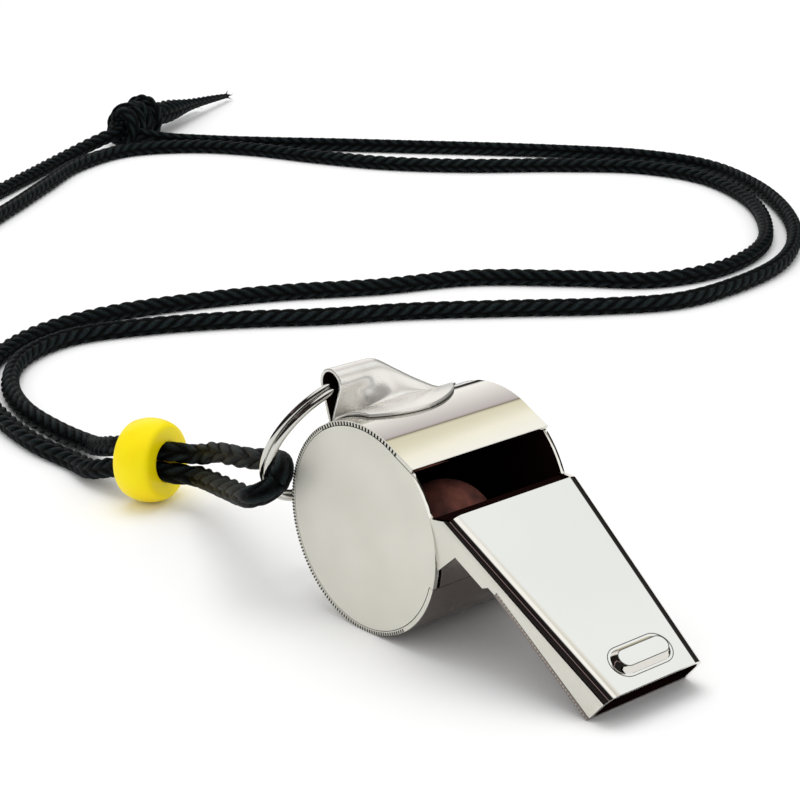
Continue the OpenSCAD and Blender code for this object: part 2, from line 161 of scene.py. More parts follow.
def braid(name, line, radius=PLAIT_CROWN / 2 * MM, corners=28, first=None, stretched=0.0):
    """Closed mesh of a plaited cord along a line, with the height of its stitches as an attribute."""
    count = len(line)
    radius = np.broadcast_to(radius, count)[:, None]
    run = np.concatenate([[0], np.cumsum(np.linalg.norm(np.diff(line, axis=0), axis=1))])[:, None] / MM
    slack = stretched * np.clip((PLAIT_STRETCH_TO - run) / PLAIT_STRETCH_FADE, 0, 1)
    run = np.concatenate([[[0]], np.cumsum(np.diff(run, axis=0) / (1 + slack[1:]), axis=0)])
    tangent, side, top = frames_along(line, first)
    turn = (np.arange(corners) / corners)[None]
    column = np.floor(turn * PLAIT_COLUMNS)
    across = turn * PLAIT_COLUMNS - column - 0.5
    lean = np.where(column % 2 == 0, 1, -1)
    stitch = (run / PLAIT_PITCH + lean * across * PLAIT_LEAN + STITCH_SHIFT * lean) % 1
    dome = (1 - (2 * stitch - 1) ** 2) ** STITCH_DOME
    height = dome * (1 - STITCH_FALL * (2 * np.abs(across)) ** STITCH_EDGE)
    reach = radius * (1 - PLAIT_DEPTH + PLAIT_DEPTH * height)
    round_ = (np.cos(turn * tau)[..., None] * side[:, None] + np.sin(turn * tau)[..., None] * top[:, None])
    rings = line[:, None] + reach[..., None] * round_
    mesh = bpy.data.meshes.new(name)
    verts = np.concatenate([rings.reshape(-1, 3), line[:1], line[-1:]])
    base = np.arange(count - 1)[:, None] * corners
    k = np.arange(corners)[None]
    nxt = (k + 1) % corners
    quads = np.stack([base + k, base + corners + k, base + corners + nxt, base + nxt], axis=-1).reshape(-1, 4)
    faces = quads.tolist()
    last = (count - 1) * corners
    faces += [[count * corners, i, (i + 1) % corners] for i in range(corners)]
    faces += [[count * corners + 1, last + (i + 1) % corners, last + i] for i in range(corners)]
    mesh.from_pydata(verts.tolist(), [], faces)
    mesh.polygons.foreach_set("use_smooth", [True] * len(mesh.polygons))
    for label, value in (("plait", height), ("yarn", stitch + 0 * height), ("run", run + 0 * height)):
        attribute = mesh.attributes.new(label, "FLOAT", "POINT")
        attribute.data.foreach_set("value", np.concatenate([value.ravel(), [0.5, 0.5]]).astype(np.float32))
    outward_faces(mesh)
    return placed(name, mesh)


def outward_faces(mesh):
    """Turns every face of a closed mesh outwards."""
    work = bmesh.new()
    work.from_mesh(mesh)
    bmesh.ops.recalc_face_normals(work, faces=work.faces)
    work.to_mesh(mesh)
    work.free()


def with_stops(node, stops):
    """Gives a colour ramp its stops, each a place and a colour."""
    while len(node.color_ramp.elements) < len(stops):
        node.color_ramp.elements.new(1)
    for element, (place, colour) in zip(node.color_ramp.elements, stops):
        element.position, element.color = place, (*colour, 1)
    return node.outputs[0]


class Finish:
    """A node material under its plain name, with short calls for adding and joining nodes."""

    def __init__(self, name, **sockets):
        self.material = bpy.data.materials.new(name)
        self.material.use_nodes = True
        self.tree = self.material.node_tree
        self.shader = self.tree.nodes["Principled BSDF"]
        for label, value in sockets.items():
            self.shader.inputs[label.replace("_", " ")].default_value = value

    def add(self, kind, settings=None, **inputs):
        node = self.tree.nodes.new(kind)
        for label, value in (settings or {}).items():
            setattr(node, label, value)
        for label, value in inputs.items():
            self.join(value, node.inputs[int(label[1:]) if label[1:].isdigit() else label.replace("_", " ")])
        return node

    def join(self, value, socket):
        if isinstance(value, bpy.types.NodeSocket):
            self.tree.links.new(value, socket)
        elif isinstance(value, bpy.types.Node):
            self.tree.links.new(value.outputs[0], socket)
        else:
            socket.default_value = value

    def math(self, work, a, b=0.0):
        return self.add("ShaderNodeMath", {"operation": work}, _0=a, _1=b).outputs[0]

    def ramp(self, factor, *stops):
        return with_stops(self.add("ShaderNodeValToRGB", Fac=factor), stops)

    def noise(self, scale, detail=3.0, stretch=(1, 1, 1)):
        place = self.add("ShaderNodeTexCoord").outputs["Object"]
        if stretch != (1, 1, 1):
            place = self.add("ShaderNodeMapping", Vector=place, Scale=stretch).outputs[0]
        return self.add("ShaderNodeTexNoise", Vector=place, Scale=scale, Detail=detail).outputs[0]

    def set(self, label, value):
        self.join(value, self.shader.inputs[label])
        return self

    def bump(self, height, strength, distance):
        bump = self.add("ShaderNodeBump", Height=height, Strength=strength, Distance=distance)
        return self.set("Normal", bump.outputs[0])


def cord_finish():
    """Black polyester of a slight green-grey tint, with painted shade in the grooves, a painted sheen on each
    stitch's crown and painted glints.
    """
    cord = Finish("cord", Roughness=0.5, Specular_IOR_Level=0.085)
    plait = cord.add("ShaderNodeAttribute", {"attribute_name": "plait"}).outputs["Fac"]
    yarn = cord.add("ShaderNodeAttribute", {"attribute_name": "yarn"}).outputs["Fac"]
    # The colour follows stitch height: painted shade in the grooves, a painted sheen lighter on each crown.
    shade = cord.ramp(plait, (0.35, (0.0004, 0.0005, 0.0005)), (0.75, (0.0022, 0.004, 0.0046)),
                      (1, (0.009, 0.0155, 0.017)))
    # Sparse bright specks multiply the colour: painted glints of the filaments.
    painted_glints = cord.ramp(cord.noise(5200, 2), (0.35, (0.5, 0.5, 0.5)), (0.62, (1.3, 1.3, 1.3)),
                      (0.78, (4, 4, 4)))
    mixed = cord.add("ShaderNodeMix", {"data_type": "RGBA", "blend_type": "MULTIPLY"})
    cord.join(1.0, mixed.inputs[0])
    cord.join(shade, mixed.inputs[6])
    cord.join(painted_glints, mixed.inputs[7])
    cord.set("Base Color", mixed.outputs[2])
    filaments = cord.math("SINE", cord.math("MULTIPLY", yarn, 9 * tau))
    grain = cord.math("ADD", cord.math("MULTIPLY", filaments, 0.35), cord.noise(4200, 3))
    return cord.bump(grain, 0.6, 0.00006).material


cord_material = cord_finish()
BIGHT = np.array(STRAND_A[0]) * MM
whole = np.concatenate([lifted(STRAND_A)[::-1], lifted(STRAND_B)[1:]])
apex = len(STRAND_A) - 1
through_bead = {apex - 7, apex + 6}
line = smooth_line(whole, through_bead, PLAIT_PITCH / POINTS_PER_STITCH * MM)
split_at = int(np.argmin(np.linalg.norm(line - BIGHT, axis=1)))
_, _, tops = frames_along(line)
line_of_a, line_of_b = line[:split_at + 1][::-1], line[split_at:]
strands = {}
for name, part in (("cord_a", line_of_a), ("cord_b", line_of_b)):
    strands[name] = braid(name, part, first=tops[split_at], stretched=PLAIT_STRETCH)
    strands[name].data.materials.append(cord_material)
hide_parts("cord_strand_a")
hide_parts("cord_strand_b")

# ---------------------------------------------------------------- knot
# The cord's two ends tied together in an overhand knot, pulled tight, with two tails of unlike length
# whose cut ends have frayed. It lies on the table at the far end of the cord.
KNOT_AT = np.array([-198.5, 100, 4.1]) * MM
KNOT_WAY = radians(114)
KNOT_RUN = np.array([cos(KNOT_WAY), sin(KNOT_WAY), 0])
KNOT_SIDE = np.array([-KNOT_RUN[1], KNOT_RUN[0], 0])
UP = np.array([0, 0, 1.0])


def by_knot(along, side, up):
    return KNOT_AT + (np.multiply.outer(along, KNOT_RUN) + np.multiply.outer(side, KNOT_SIDE)
                      + np.multiply.outer(up, UP)) * MM


WRAP_TURNS, WRAP_LONG, WRAP_R, WRAP_GROWS, WRAP_REST = 4.2, 11, 2.6, 0.5, 1.3
WRAP_SWAY, WRAP_UNEVEN, WRAP_TUCK = 1.1, 0.25, 14
WRAP_STRAND_R, HEART_STRAND_R, HEART_END, KNOT_STEP, HEART_STEP = 1.3, 1.5, 5.2, 0.26, 0.3
# Each tail leaves on one side, runs out to its own reach and sinks to the table by its droop.
TAILS = ((-1.25, 38, 3.0), (1.25, 27, 2.6))
TAIL_FROM, TAIL_RISE, TAIL_SPREAD, TAIL_R, TAIL_SWELL, TAIL_TAPER = 2, 0.2, 1.6, 1.3, 1.0, 0.8
turn = np.linspace(0, 1, 500)
wrap_angle = turn * WRAP_TURNS * tau
tucked = np.clip(np.minimum(turn, 1 - turn) * WRAP_TUCK, 0.35, 1)
wrap_reach = (WRAP_R + WRAP_GROWS * turn) * tucked + WRAP_UNEVEN * np.sin(wrap_angle * 0.37)
wraps = by_knot((turn - 0.5) * WRAP_LONG + WRAP_SWAY * np.sin(wrap_angle + 0.6),
                wrap_reach * np.cos(wrap_angle), wrap_reach * np.sin(wrap_angle))
wraps[:, 2] = np.maximum(wraps[:, 2], WRAP_REST * MM)
knot_parts = [braid("knot_wraps", evenly(wraps, KNOT_STEP * MM), WRAP_STRAND_R * MM)]
heart = by_knot(np.linspace(-HEART_END, HEART_END, 30), np.zeros(30), np.zeros(30))
knot_parts.append(braid("knot_heart", evenly(heart, HEART_STEP * MM), HEART_STRAND_R * MM))
tail_ends = []
for side, reach, droop in TAILS:
    along = np.linspace(TAIL_FROM, reach, 80)
    share = (along - TAIL_FROM) / (reach - TAIL_FROM)
    sideways = side * (1 - 0.5 * share ** 2) + TAIL_SPREAD * share
    line_out = evenly(by_knot(along, sideways, TAIL_RISE - droop * share ** 1.5), KNOT_STEP * MM)
    share = np.linspace(0, 1, len(line_out))
    thickness = TAIL_R + TAIL_SWELL * np.exp(-((share - 0.22) / 0.22) ** 2) - TAIL_TAPER * share ** 2
    knot_parts.append(braid("tail", line_out, thickness * MM))
    tail_ends.append((line_out[-1], KNOT_RUN))


def node_group(name, **inputs):
    """A geometry node tree with named inputs, its two ends, and the identifiers of those inputs."""
    tree = bpy.data.node_groups.new(name, "GeometryNodeTree")
    tree.interface.new_socket("Geometry", in_out="INPUT", socket_type="NodeSocketGeometry")
    identifiers = []
    for label, kind in inputs.items():
        socket = tree.interface.new_socket(label.replace("_", " "), in_out="INPUT",
                                           socket_type="NodeSocket" + kind)
        identifiers.append(socket.identifier)
    tree.interface.new_socket("Geometry", in_out="OUTPUT", socket_type="NodeSocketGeometry")
    return tree, tree.nodes.new("NodeGroupInput"), tree.nodes.new("NodeGroupOutput"), identifiers


def finish_group(tree, shape, inlet, outlet):
    """Ends a tree: instances made real, then the material."""
    real, paint = tree.nodes.new("GeometryNodeRealizeInstances"), tree.nodes.new("GeometryNodeSetMaterial")
    tree.links.new(shape, real.inputs[0])
    tree.links.new(real.outputs[0], paint.inputs["Geometry"])
    tree.links.new(inlet.outputs["Material"], paint.inputs["Material"])
    tree.links.new(paint.outputs[0], outlet.inputs[0])


def shaped_by(piece, tree, sockets, *values):
    """Runs a tree on a piece with the given inputs and keeps the result as its mesh."""
    modifier = piece.modifiers.new(tree.name, "NODES")
    modifier.node_group = tree
    for socket, value in zip(sockets, values):
        modifier[socket] = value
    return plain_result(piece)


FIBRES, FIBRE_LONG, FIBRE_THICK, FIBRE_LEAN, FIBRE_SHORTEST, CUT_END_R = 46, 2.6, 0.09, 0.55, 0.4, 0.5
PER_SQUARE_MM = 1e6


def frayed_end(name, ends, seed):
    """Loose filaments at the cut ends, scattered by a node tree and baked to one mesh."""
    tree, inlet, outlet, sockets = node_group("frayed_end", Filaments="Int", Length="Float",
                                              Thickness="Float", Material="Material")
    add, link = tree.nodes.new, tree.links.new
    scatter = add("GeometryNodeDistributePointsOnFaces")
    scatter.inputs["Seed"].default_value = seed
    density = add("ShaderNodeMath")
    density.operation = "MULTIPLY"
    density.inputs[1].default_value = PER_SQUARE_MM
    link(inlet.outputs["Filaments"], density.inputs[0])
    link(density.outputs[0], scatter.inputs["Density"])
    fibre = add("GeometryNodeMeshCone")
    fibre.inputs["Vertices"].default_value = 4
    fibre.inputs["Side Segments"].default_value = 2
    link(inlet.outputs["Thickness"], fibre.inputs["Radius Bottom"])
    link(inlet.outputs["Length"], fibre.inputs["Depth"])
    spread = add("FunctionNodeRandomValue")
    spread.data_type = "FLOAT_VECTOR"
    spread.inputs[0].default_value = (-FIBRE_LEAN, -FIBRE_LEAN, 0)
    spread.inputs[1].default_value = (FIBRE_LEAN, FIBRE_LEAN, tau)
    spread.inputs["Seed"].default_value = seed + 1
    lengths = add("FunctionNodeRandomValue")
    lengths.data_type = "FLOAT"
    lengths.inputs[2].default_value = FIBRE_SHORTEST
    lengths.inputs[3].default_value = 1.0
    lengths.inputs["Seed"].default_value = seed + 2
    turned = add("FunctionNodeRotateEuler")
    turned.rotation_type = "EULER"
    turned.space = "LOCAL"
    place = add("GeometryNodeInstanceOnPoints")
    link(inlet.outputs["Geometry"], scatter.inputs["Mesh"])
    link(scatter.outputs["Points"], place.inputs["Points"])
    link(fibre.outputs["Mesh"], place.inputs["Instance"])
    link(scatter.outputs["Rotation"], turned.inputs["Rotation"])
    link(spread.outputs[0], turned.inputs[1])
    link(turned.outputs[0], place.inputs["Rotation"])
    link(lengths.outputs[1], place.inputs["Scale"])
    finish_group(tree, place.outputs[0], inlet, outlet)
    work = bmesh.new()
    for at, way in ends:
        turn_to = Vector(way).to_track_quat("Z", "Y").to_matrix().to_4x4()
        bmesh.ops.create_circle(work, cap_ends=True, segments=10, radius=CUT_END_R * MM,
                                matrix=Matrix.Translation(Vector(at) - Vector(way) * 0.3 * MM) @ turn_to)
    seat = bpy.data.meshes.new(name)
    work.to_mesh(seat)
    work.free()
    return shaped_by(placed(name, seat), tree, sockets, FIBRES, FIBRE_LONG * MM, FIBRE_THICK * MM,
                     cord_material)


def plain_result(piece):
    """Takes the evaluated mesh as the piece's own and drops its modifiers."""
    bpy.context.view_layer.update()
    shape = bpy.data.meshes.new_from_object(piece.evaluated_get(bpy.context.evaluated_depsgraph_get()))
    piece.modifiers.clear()
    piece.data = shape
    return piece


def joined(name, parts):
    """One piece from several meshes that lie in place."""
    work = bmesh.new()
    for part in parts:
        work.from_mesh(part.data)
    mesh = bpy.data.meshes.new(name)
    work.to_mesh(mesh)
    work.free()
    for material in parts[0].data.materials:
        mesh.materials.append(material)
    for part in parts:
        bpy.data.objects.remove(part)
    return placed(name, mesh)


knot_parts[0].data.materials.append(cord_material)
knot = joined("knot", knot_parts)
fray = frayed_end("knot_fray", tail_ends, 7)
for piece in (knot, fray):
    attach(piece, "whistle")
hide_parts("end_knot")

# ---------------------------------------------------------------- bead
# Moulded plastic ball with two flats, on both strands. Its bore is wide enough to slide, and its rims
# are rounded where the mould closes.
LEAD_LOW, LEAD_HIGH = [(lifted(STRAND_A)[i] + lifted(STRAND_B)[i]) / 2 for i in (7, 6)]
LEAD = (LEAD_HIGH - LEAD_LOW) / np.linalg.norm(LEAD_HIGH - LEAD_LOW)
BEAD_R, BEAD_HALF, BEAD_BORE_R, BEAD_FREE, BEAD_EDGE_R, BEAD_LIP_R = 5.05, 2.5, 2.3, 2, 0.8, 0.3
BORE_STRAIGHT, BEAD_CORNERS = 1.6, 72
bead_at = LEAD_LOW + (BEAD_HALF + BEAD_FREE) * MM * LEAD


def bead_profile():
    """Half section as (radius, height): the crown, its edge, the flat, the bore's lip, and down the bore."""
    edge_at = BEAD_HALF - BEAD_EDGE_R
    middle = sqrt((BEAD_R - BEAD_EDGE_R) ** 2 - edge_at ** 2)
    meet = atan2(edge_at, middle)
    crown = [(BEAD_R * cos(a), BEAD_R * sin(a)) for a in np.linspace(-meet, meet, 15)]
    upper = [(middle + BEAD_EDGE_R * cos(a), edge_at + BEAD_EDGE_R * sin(a))
             for a in np.linspace(meet + 0.15, pi / 2, 6)]
    lip = BEAD_BORE_R + BEAD_LIP_R
    upper += [(lip + BEAD_LIP_R * cos(a), BEAD_HALF - BEAD_LIP_R + BEAD_LIP_R * sin(a))
              for a in np.linspace(pi / 2, pi, 7)]
    bore = [(BEAD_BORE_R, z) for z in np.linspace(BORE_STRAIGHT, -BORE_STRAIGHT, 5)]
    return crown + upper + bore + [(r, -z) for r, z in reversed(upper)]


def lathe(name, profile, corners, matrix):
    """Closed mesh of a half section turned round its axis."""
    mesh = bpy.data.meshes.new(name)
    count = len(profile)
    verts = [(r * cos(tau * k / corners), r * sin(tau * k / corners), z)
             for k in range(corners) for r, z in profile]
    faces = [[k * count + i, (k + 1) % corners * count + i, (k + 1) % corners * count + (i + 1) % count,
              k * count + (i + 1) % count] for k in range(corners) for i in range(count)]
    mesh.from_pydata([matrix @ (Vector(v) * MM) for v in verts], [], faces)
    mesh.polygons.foreach_set("use_smooth", [True] * len(mesh.polygons))
    outward_faces(mesh)
    return placed(name, mesh)


bead_turn = Vector(LEAD).to_track_quat("Z", "Y").to_matrix().to_4x4()
bead = lathe("bead_ball", bead_profile(), BEAD_CORNERS, Matrix.Translation(Vector(bead_at)) @ bead_turn)
yellow = Finish("bead_plastic", Roughness=0.36, Specular_IOR_Level=0.2, Subsurface_Weight=0.12,
                Subsurface_Radius=(0.002, 0.0012, 0.0004), Subsurface_Scale=1.0)
yellow.set("Base Color", yellow.ramp(yellow.noise(260, 4), (0.3, (1.0, 0.76, 0.001)),
                                     (0.7, (1.0, 0.83, 0.002))))
yellow.bump(yellow.noise(900, 4), 0.12, 0.0001)
bead.data.materials.append(yellow.material)
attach(bead, "bead")
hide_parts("bead")

strand_lines = {"cord_a": line_of_a, "cord_b": line_of_b}
for name, strand in strands.items():
    path = strand_lines[name]
    run = float(np.linalg.norm(np.diff(path, axis=0), axis=1).sum())
    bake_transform(strand)

# ---------------------------------------------------------------- split ring
# Spring-steel wire, 0.75 mm thick, wound in almost two turns side by side and polished. It hangs through
# the loop's eye and rests on the barrel; the wire steps across from its first turn to its second.
RING_R, WIRE_R, WIRE_GAP, RING_TILT, RING_STEP, RING_START = 8.8, 0.375, 0.05, 61, 20, 118
RING_POINTS, WIRE_CORNERS = 240, 20
EYE_AT = Vector((-6.9007, -3.8, 25.0433)) * MM
ring_place = Matrix.Translation(EYE_AT) @ Matrix.Rotation(radians(-RING_TILT), 4, "Y") @ Matrix.Translation(
    (-RING_R * MM, 0, 0)) @ Matrix.Rotation(radians(RING_START), 4, "Z")


def wire_tree():
    """Geometry nodes: a round wire, swept along the line that it is given."""
    tree, inlet, outlet, sockets = node_group("wire_along_line", Wire_radius="Float", Corners="Int",
                                              Material="Material")
    add, link = tree.nodes.new, tree.links.new
    to_curve, section = add("GeometryNodeMeshToCurve"), add("GeometryNodeCurvePrimitiveCircle")
    sweep, smooth = add("GeometryNodeCurveToMesh"), add("GeometryNodeSetShadeSmooth")
    link(inlet.outputs["Geometry"], to_curve.inputs["Mesh"])
    link(inlet.outputs["Wire radius"], section.inputs["Radius"])
    link(inlet.outputs["Corners"], section.inputs["Resolution"])
    link(to_curve.outputs[0], sweep.inputs["Curve"])
    link(section.outputs[0], sweep.inputs["Profile Curve"])
    sweep.inputs["Fill Caps"].default_value = True
    link(sweep.outputs[0], smooth.inputs[0])
    finish_group(tree, smooth.outputs[0], inlet, outlet)
    return tree, sockets


def metal_finish(name, colour, rough, grain=0.03, scale=900, metallic=1.0):
    """Polished metal with faint rubbing marks: roughness varies slowly, and a fine grain breaks it up."""
    metal = Finish(name, Metallic=metallic, Specular_IOR_Level=0.5 * metallic)
    rubbed = metal.noise(140, 5)
    metal.set("Roughness", metal.ramp(rubbed, (0.3, (rough * 0.7,) * 3), (0.75, (rough * 1.5,) * 3)))
    dark = tuple(c * 0.955 for c in colour)
    metal.set("Base Color", metal.ramp(metal.noise(55, 4), (0.3, dark), (0.7, colour)))
    return metal.bump(metal.noise(scale, 4), grain, 0.00001).material


ring_line = []
turns_deg = 720 - RING_STEP
for i in range(RING_POINTS + 1):
    turned = turns_deg * i / RING_POINTS
    stepped = min(max((turned - 360 + RING_STEP) / RING_STEP, 0), 1)
    stepped = stepped * stepped * (3 - 2 * stepped)
    ring_line.append(ring_place @ (Vector((RING_R * cos(radians(turned)), RING_R * sin(radians(turned)),
                                           (2 * WIRE_R + WIRE_GAP) * (stepped - 0.5))) * MM))
ring_mesh = bpy.data.meshes.new("split_ring_wire")
ring_mesh.from_pydata(ring_line, [(i, i + 1) for i in range(RING_POINTS)], [])
wire, wire_sockets = wire_tree()
ring = shaped_by(placed("split_ring_wire", ring_mesh), wire, wire_sockets, WIRE_R * MM, WIRE_CORNERS,
                 metal_finish("ring_steel", (0.62, 0.61, 0.57), 0.07))
outward_faces(ring.data)
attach(ring, "ring")
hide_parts("split_ring")

# ---------------------------------------------------------------- sheet-metal body
# Brass sheet, 0.5 mm thick, cut, folded and soldered, then nickel-plated and polished outside. The
# band ends in the lip; cheeks and top plate are one folded sheet; the floor closes the windway below.
NICKEL = (0.70, 0.685, 0.63)
nickel = metal_finish("nickel", NICKEL, 0.045)
nickel_satin = metal_finish("nickel_satin", (0.74, 0.725, 0.65), 0.5, grain=0.02, metallic=0.3)
# Near black: painted shade for the hollow inner faces, the lip's underside and the loop's inner wall.
nickel_inside_painted_shade = metal_finish("nickel_inside_painted_shade", (0.009, 0.0035, 0.003), 0.6, grain=0.2, metallic=0.0)
# Brown-grey: painted shade for the barrel's lower front and the underside of the windway floor.
nickel_painted_shade = metal_finish("nickel_painted_shade", (0.23, 0.2, 0.185), 0.22)
AXIS_Z, BARREL_R, CHEEK_Y, SHEET = 11.5, 11.5, 9.4, 0.5
SAME_PLACE, SAME_PLANE, EDGE_FROM = 0.002, radians(0.4), radians(24)


def pressed_sheet(node, name, edge, dress):
    """A clean copy of a CAD node: faces merged, edges rounded as the press leaves them, painted shade on
    inner faces.
    """
    work = bmesh.new()
    work.from_mesh(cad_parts[node].data)
    bmesh.ops.remove_doubles(work, verts=work.verts, dist=SAME_PLACE * MM)
    bmesh.ops.dissolve_limit(work, angle_limit=SAME_PLANE, verts=work.verts, edges=work.edges)
    mesh = bpy.data.meshes.new(name)
    work.to_mesh(mesh)
    work.free()
    for metal in (nickel, nickel_inside_painted_shade, nickel_satin, nickel_painted_shade):
        mesh.materials.append(metal)
    piece = placed(name, mesh)
    rounding = piece.modifiers.new("rounding", "BEVEL")
    rounding.width = edge * MM
    rounding.segments = 2
    rounding.limit_method = "ANGLE"
    rounding.angle_limit = EDGE_FROM
    rounding.use_clamp_overlap = True
    rounding.harden_normals = True
    piece.data.polygons.foreach_set("use_smooth", [True] * len(piece.data.polygons))
    even_light = piece.modifiers.new("even_light", "WEIGHTED_NORMAL")
    even_light.mode, even_light.weight, even_light.keep_sharp = "FACE_AREA", 80, False
    piece = plain_result(piece)
    for face in piece.data.polygons:
        face.material_index = dress(face.center / MM, face.normal)
    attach(piece, "whistle")
    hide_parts(node)


# The second and fourth finishes are painted shade, near black and brown-grey.
OUTSIDE, INSIDE_PAINTED_SHADE, SATIN, PAINTED_SHADE = range(4)
# The top plate slopes down from its rear edge, and the windway's middle lies 2.2 mm below it.
PLATE_SLOPE, PLATE_FROM_X, MIDDLE_BELOW, LIP_ABOVE_Z = radians(33.5), 12.5, 2.2, 19
PLATE_REAR = Vector((13.387, 0, 16.543))
PLATE_DOWN = Vector((cos(PLATE_SLOPE), 0, -sin(PLATE_SLOPE)))
PLATE_UP = Vector((sin(PLATE_SLOPE), 0, cos(PLATE_SLOPE)))


def dress_band(at, normal):
    """Painted shade inside and under the lip, satin on the cut rims, and painted shade on the lower front."""
    inner = sqrt(at.x ** 2 + (at.z - AXIS_Z) ** 2) < BARREL_R - SHEET + 0.03 or (
        normal.z < -0.7 and at.z > LIP_ABOVE_Z and abs(at.y) < CHEEK_Y - 0.1)
    if inner and abs(normal.y) < 0.5:
        return INSIDE_PAINTED_SHADE
    if abs(normal.y) > 0.35:
        return SATIN
    return PAINTED_SHADE if at.z < AXIS_Z - 1 and normal.x > 0.15 else OUTSIDE


def dress_shell(at, normal):
    """Painted shade on the inner faces of plate and cheeks, satin on the flat cheeks and sides, polished
    elsewhere.
    """
    below, to_middle = (at - PLATE_REAR).dot(-PLATE_UP), Vector((0, -at.y, 0))
    inner = abs(at.y) < CHEEK_Y - SHEET + 0.02
    if at.x > PLATE_FROM_X:
        to_middle = to_middle - PLATE_UP * (MIDDLE_BELOW - below)
        inner = inner and below > SHEET - 0.05
    if inner and to_middle.normalized().dot(normal) > 0.4:
        return INSIDE_PAINTED_SHADE
    return SATIN if abs(normal.y) > 0.93 else OUTSIDE


def dress_floor(at, normal):
    """Near-black painted shade towards the windway and the chamber, brown-grey painted shade below."""
    in_barrel = sqrt(at.x ** 2 + (at.z - AXIS_Z) ** 2) < BARREL_R
    toward_axis = normal.x * at.x + normal.z * (at.z - AXIS_Z) < 0
    return INSIDE_PAINTED_SHADE if normal.dot(PLATE_UP) > 0.7 or (in_barrel and toward_axis) else PAINTED_SHADE


pressed_sheet("barrel_band", "band", 0.07, dress_band)
pressed_sheet("body_shell", "cheeks_and_plate", 0.06, dress_shell)
pressed_sheet("windway_floor", "floor_plate", 0.05, dress_floor)

# ---------------------------------------------------------------- lanyard loop
# A strap of 0.35 mm sheet, bent round a rod into an eye and pinched together at its near mouth. Its far
# end is pressed down into a ridge that runs out in the rounded foot, and both feet are soldered on.
EYE_X, EYE_Z, EYE_MID_R, EYE_PRESSED_R, STRAP = -6.9007, 25.0433, 1.525, 0.15, 0.35
EYE_NEAR_Y, EYE_FAR_Y, RIDGE_END_Y = -7.4, -1.4, 4.4
PINCH_DEG, FOLD_DEG, REAR_DEG, FOOT_BACK_DEG = 126.5, 105, 132.5, 108.3
FOOT_R, FOOT_BACK, FOOT_MID_Y, FOOT_END_Y = 9.1, 4.8, -1.6, 6.45
PINCH_HALF_DEG, FLANK_HOLLOW, DENT_DEEP, DENT_AT_Y, DENT_RUN, DENT_WIDE = 1.1, 0.12, 0.16, -5.4, 4.4, 0.6
# The section is drawn at 71 places, with so many points round the eye, down the flank and on the foot.
EYE_ROWS, RIDGE_ROWS, EYE_POINTS, FLANK_POINTS, FOOT_POINTS = 31, 41, 26, 22, 14
STRAP_SMOOTHINGS, SMOOTH_FROM_Y, SMOOTH_FADE = 22, -4.5, 4
nickel_bent = metal_finish("nickel_bent", (0.80, 0.78, 0.735), 0.25, metallic=0.62)


def on_barrel(deg, height=0.05 + STRAP / 2):
    """Point (x, z) of the strap's middle line on the band, with the solder's 0.05 mm under the strap."""
    reach = BARREL_R + height
    return np.array([reach * cos(radians(deg)), AXIS_Z + reach * sin(radians(deg))])


def between(a, b, count):
    """Points from one place up to another, which isn't among them."""
    return [a + (b - a) * share for share in np.linspace(0, 1, count, endpoint=False)]


def eased(share):
    """Soft start and stop between 0 and 1."""
    share = min(max(share, 0), 1)
    return share * share * (3 - 2 * share)


def strap_section(y):
    """Middle line of the strap across the barrel at one place: rear foot, eye, front flank, front foot."""
    spread = (y - EYE_NEAR_Y) / (EYE_FAR_Y - EYE_NEAR_Y)
    fallen = min(max((y - EYE_FAR_Y) / (RIDGE_END_Y - EYE_FAR_Y), 0), 1)
    pinch = PINCH_HALF_DEG * (1 - 0.3 * eased(spread))
    fold_at = PINCH_DEG - pinch + (FOLD_DEG - PINCH_DEG + pinch) * min(spread, 1)
    fold = on_barrel(fold_at)
    eye = fold + (np.array([EYE_X, EYE_Z]) - fold) * (1 - fallen) ** 1.5
    away = fold - eye
    far = max(float(np.linalg.norm(away)), 1e-3)
    pressed = EYE_PRESSED_R + (EYE_MID_R - EYE_PRESSED_R) * (1 - fallen) ** 1.3
    reach = min(pressed, 0.62 * far) if fallen else EYE_MID_R
    toward = atan2(away[1], away[0])
    front = toward + np.arccos(min(reach / far, 1))
    neck = on_barrel(PINCH_DEG + pinch)
    neck_way = atan2(neck[1] - eye[1], neck[0] - eye[0])
    rear = neck_way - np.arccos(min(EYE_MID_R / max(np.linalg.norm(neck - eye), EYE_MID_R), 1)) + tau
    rear = rear + (front + 0.35 * pi - rear) * eased(fallen / 0.25)
    rim = [eye + reach * np.array([cos(a), sin(a)])
           for a in np.linspace(rear, front, EYE_POINTS, endpoint=False)]
    behind = between(on_barrel(REAR_DEG), neck, 6) + between(neck, rim[0], 10)
    flat = between(on_barrel(FOOT_BACK_DEG), rim[0], 16)
    held, spread_out = 1 - eased(fallen / 0.25), eased((fallen - 0.7) / 0.3)
    behind = [rim[0] + (a - rim[0]) * held + (b - rim[0]) * spread_out for a, b in zip(behind, flat)]
    start = eye + reach * np.array([cos(front), sin(front)])
    inward = np.array([-(fold - start)[1], (fold - start)[0]]) / far * -1
    flank = []
    for u in np.linspace(0, 1, FLANK_POINTS, endpoint=False):
        hollow = FLANK_HOLLOW * sin(pi * u) * (1 - fallen) * eased(spread * 1.5)
        dent = DENT_DEEP * np.exp(-((y - DENT_AT_Y - DENT_RUN * u) / DENT_WIDE) ** 2)
        dent = dent * sin(pi * min(u + 0.12, 1)) * (1 - fallen)
        flank.append(start + (fold - start) * u + inward * (hollow + dent))
    span = sqrt(max(FOOT_R ** 2 - (y - FOOT_MID_Y) ** 2, 0)) - FOOT_BACK
    front_edge = FOLD_DEG - np.degrees(span / (BARREL_R + STRAP))
    foot = [on_barrel(fold_at + (front_edge - fold_at) * u) for u in np.linspace(0, 1, FOOT_POINTS)]
    return behind + rim + flank + foot


